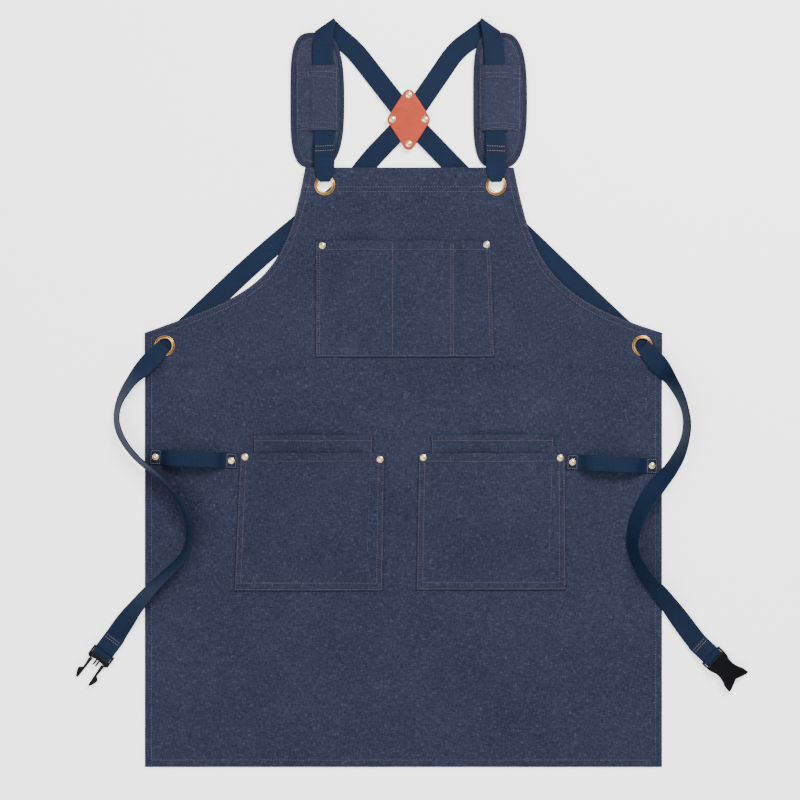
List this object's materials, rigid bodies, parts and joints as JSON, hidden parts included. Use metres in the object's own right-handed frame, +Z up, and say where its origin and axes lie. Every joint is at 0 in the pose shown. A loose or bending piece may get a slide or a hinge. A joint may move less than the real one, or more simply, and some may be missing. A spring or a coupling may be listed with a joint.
{
  "type": "apron",
  "caption": "Cross-back canvas work apron laid out flat, with padded shoulder straps, bib and skirt pockets, tool loops and a buckled waist tie.",
  "frame": {"origin": "on the surface the apron lies on, at the middle of its box, face up", "axes": "+Z up from the surface and out of the apron's face, +Y from the hem to the shoulders, +X to the right as seen from above"},
  "size_m": [0.852, 0.9497, 0.0273],
  "materials": {
    "body_canvas": "washed indigo canvas",
    "pocket_canvas": "washed indigo canvas",
    "pad_canvas": "soft indigo canvas",
    "pad_binding": "dark edge binding",
    "webbing": "ribbed navy webbing",
    "pad_foam": "soft foam",
    "antique_brass": "antique",
    "patch_leather": "smooth tan leather",
    "black_acetal": "moulded satin black"
  },
  "bodies": {
    "apron": {"apron_body": "body_canvas", "chest_pocket": "pocket_canvas", "left_front_pocket": "pocket_canvas", "right_front_pocket": "pocket_canvas", "left_rear_pocket": "pocket_canvas", "right_rear_pocket": "pocket_canvas", "left_tool_loop": "webbing", "right_tool_loop": "webbing", "left_shoulder_strap": "webbing", "right_shoulder_strap": "webbing", "left_waist_tie": "webbing", "right_waist_tie": "webbing", "bib_eyelets": "antique_brass", "bib_eyelet_washers": "antique_brass", "side_eyelets": "antique_brass", "side_eyelet_washers": "antique_brass", "cross_patch_rivet_caps": "antique_brass", "chest_pocket_rivet_caps": "antique_brass", "lower_pocket_rivet_caps": "antique_brass", "tool_loop_rivet_caps": "antique_brass", "cross_patch_rivet_posts": "antique_brass", "chest_pocket_rivet_posts": "antique_brass", "lower_pocket_rivet_posts": "antique_brass", "tool_loop_rivet_posts": "antique_brass", "cross_patch_front": "patch_leather", "cross_patch_back": "patch_leather"},
    "left_pad": {"left_pad_front": "pad_canvas", "left_pad_back": "pad_canvas", "left_pad_foam": "pad_foam", "left_pad_binding": "pad_binding", "left_pad_sleeve": "pad_canvas"},
    "right_pad": {"right_pad_front": "pad_canvas", "right_pad_back": "pad_canvas", "right_pad_foam": "pad_foam", "right_pad_binding": "pad_binding", "right_pad_sleeve": "pad_canvas"},
    "male_buckle": {"male_buckle_body": "black_acetal"},
    "left_prong": {"male_buckle_left_prong": "black_acetal"},
    "right_prong": {"male_buckle_right_prong": "black_acetal"},
    "female_buckle": {"female_buckle_body": "black_acetal"}
  },
  "joints": [
    {"name": "left_pad_slide", "type": "slide", "parent": "apron", "child": "left_pad", "axis": [-0.018, 0.9998, 0], "range_m": [-0.012, 0]},
    {"name": "right_pad_slide", "type": "slide", "parent": "apron", "child": "right_pad", "axis": [-0.0148, 0.9999, 0], "range_m": [-0.012, 0]},
    {"name": "male_buckle_swing", "type": "hinge", "parent": "apron", "child": "male_buckle", "pos_m": [-0.38, -0.329, 0.0035], "axis": [-0.8073, 0.5902, 0], "range_deg": [0, 95]},
    {"name": "female_buckle_swing", "type": "hinge", "parent": "apron", "child": "female_buckle", "pos_m": [0.39, -0.3333, 0.0035], "axis": [-0.6868, -0.7268, 0], "range_deg": [0, 95]},
    {"name": "left_prong_flex", "type": "hinge", "parent": "male_buckle", "child": "left_prong", "pos_m": [-0.38129, -0.34627, 0.0035], "axis": [0, 0, -1], "range_deg": [0, 8], "stiffness_Nm_per_rad": 0.6},
    {"name": "right_prong_flex", "type": "hinge", "parent": "male_buckle", "child": "right_prong", "pos_m": [-0.39606, -0.33547, 0.0035], "axis": [0, 0, 1], "range_deg": [0, 8], "stiffness_Nm_per_rad": 0.6}
  ]
}
